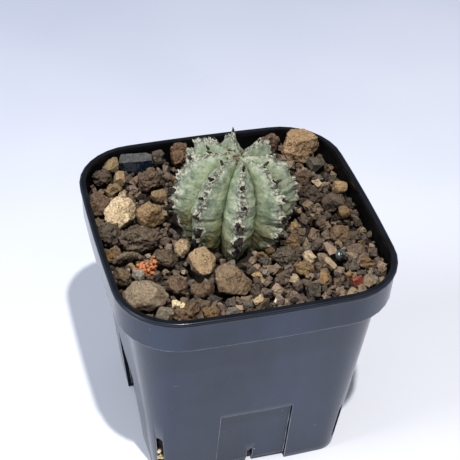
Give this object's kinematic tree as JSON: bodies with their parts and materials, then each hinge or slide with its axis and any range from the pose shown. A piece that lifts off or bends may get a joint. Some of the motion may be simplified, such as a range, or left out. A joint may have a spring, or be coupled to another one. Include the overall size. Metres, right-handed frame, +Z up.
{
  "type": "potted euphorbia",
  "caption": "Globular ribbed succulent in a square plastic slit pot, bedded in stony mix and topped with loose pumice and lava stones.",
  "frame": {"origin": "under the middle of the pot, on the surface that its corner feet stand on", "axes": "+Z up, +X and +Y square to the pot's sides; the front of the pot and the plant's first rib face -Y"},
  "size_m": [0.09, 0.09, 0.1068],
  "materials": {
    "pot_plastic": "satin",
    "growing_mix": "matte",
    "stem_skin": "satin",
    "dry_stalk": "matte",
    "pumice_pale": "matte",
    "pumice_tan": "matte",
    "lava_brown": "matte",
    "lava_dark": "matte",
    "stone_grey": "matte",
    "stone_mauve": "matte",
    "stone_ochre": "matte",
    "stone_red": "matte",
    "lava_orange": "matte",
    "bead_glass": "gloss",
    "root_wood": "matte"
  },
  "bodies": {
    "root": {"bead_glassy": "bead_glass", "block_tan": "pumice_tan", "chip_grey": "stone_grey", "chip_grey_green": "stone_grey", "chip_red": "stone_red", "chip_tan": "pumice_tan", "coral_crumb": "lava_orange", "dry_stalk_1": "dry_stalk", "dry_stalk_10": "dry_stalk", "dry_stalk_11": "dry_stalk", "dry_stalk_12": "dry_stalk", "dry_stalk_2": "dry_stalk", "dry_stalk_3": "dry_stalk", "dry_stalk_4": "dry_stalk", "dry_stalk_5": "dry_stalk", "dry_stalk_6": "dry_stalk", "dry_stalk_7": "dry_stalk", "dry_stalk_8": "dry_stalk", "dry_stalk_9": "dry_stalk", "euphorbia_stem": "stem_skin", "flat_chip": "stone_grey", "grey_by_stem": "stone_grey", "growing_mix": "growing_mix", "lava_back_large": "lava_brown", "lava_back_left": "lava_dark", "lava_back_middle": "lava_brown", "lava_back_rim": "lava_brown", "lava_by_stem": "lava_brown", "lava_front": "lava_brown", "lava_front_rim": "lava_brown", "lava_left_dark": "lava_dark", "lava_left_front": "lava_brown", "lava_left_low": "lava_brown", "lava_left_rim": "lava_brown", "lava_middle_left": "lava_brown", "lava_right_back": "lava_brown", "lava_right_dark": "lava_dark", "lava_right_front": "lava_brown", "ochre_front_rim": "stone_ochre", "ochre_porous": "stone_ochre", "ochre_wedge": "stone_ochre", "pebble_round": "stone_grey", "pebble_tan": "pumice_tan", "pot": "pot_plastic", "pumice_by_stem": "pumice_tan", "pumice_cream": "pumice_pale", "pumice_sandy": "pumice_tan", "pumice_small": "pumice_tan", "root_scrap": "root_wood", "scoria_rough": "lava_dark", "sliver_mauve": "stone_mauve", "sliver_peach": "pumice_pale", "stone_back_right": "pumice_tan", "stone_front_left": "pumice_tan", "stone_mauve": "stone_mauve", "stone_olive": "stone_grey", "tan_by_stem": "pumice_tan", "tan_front_right": "pumice_tan", "wedge_front": "pumice_tan"}
  },
  "joints": []
}
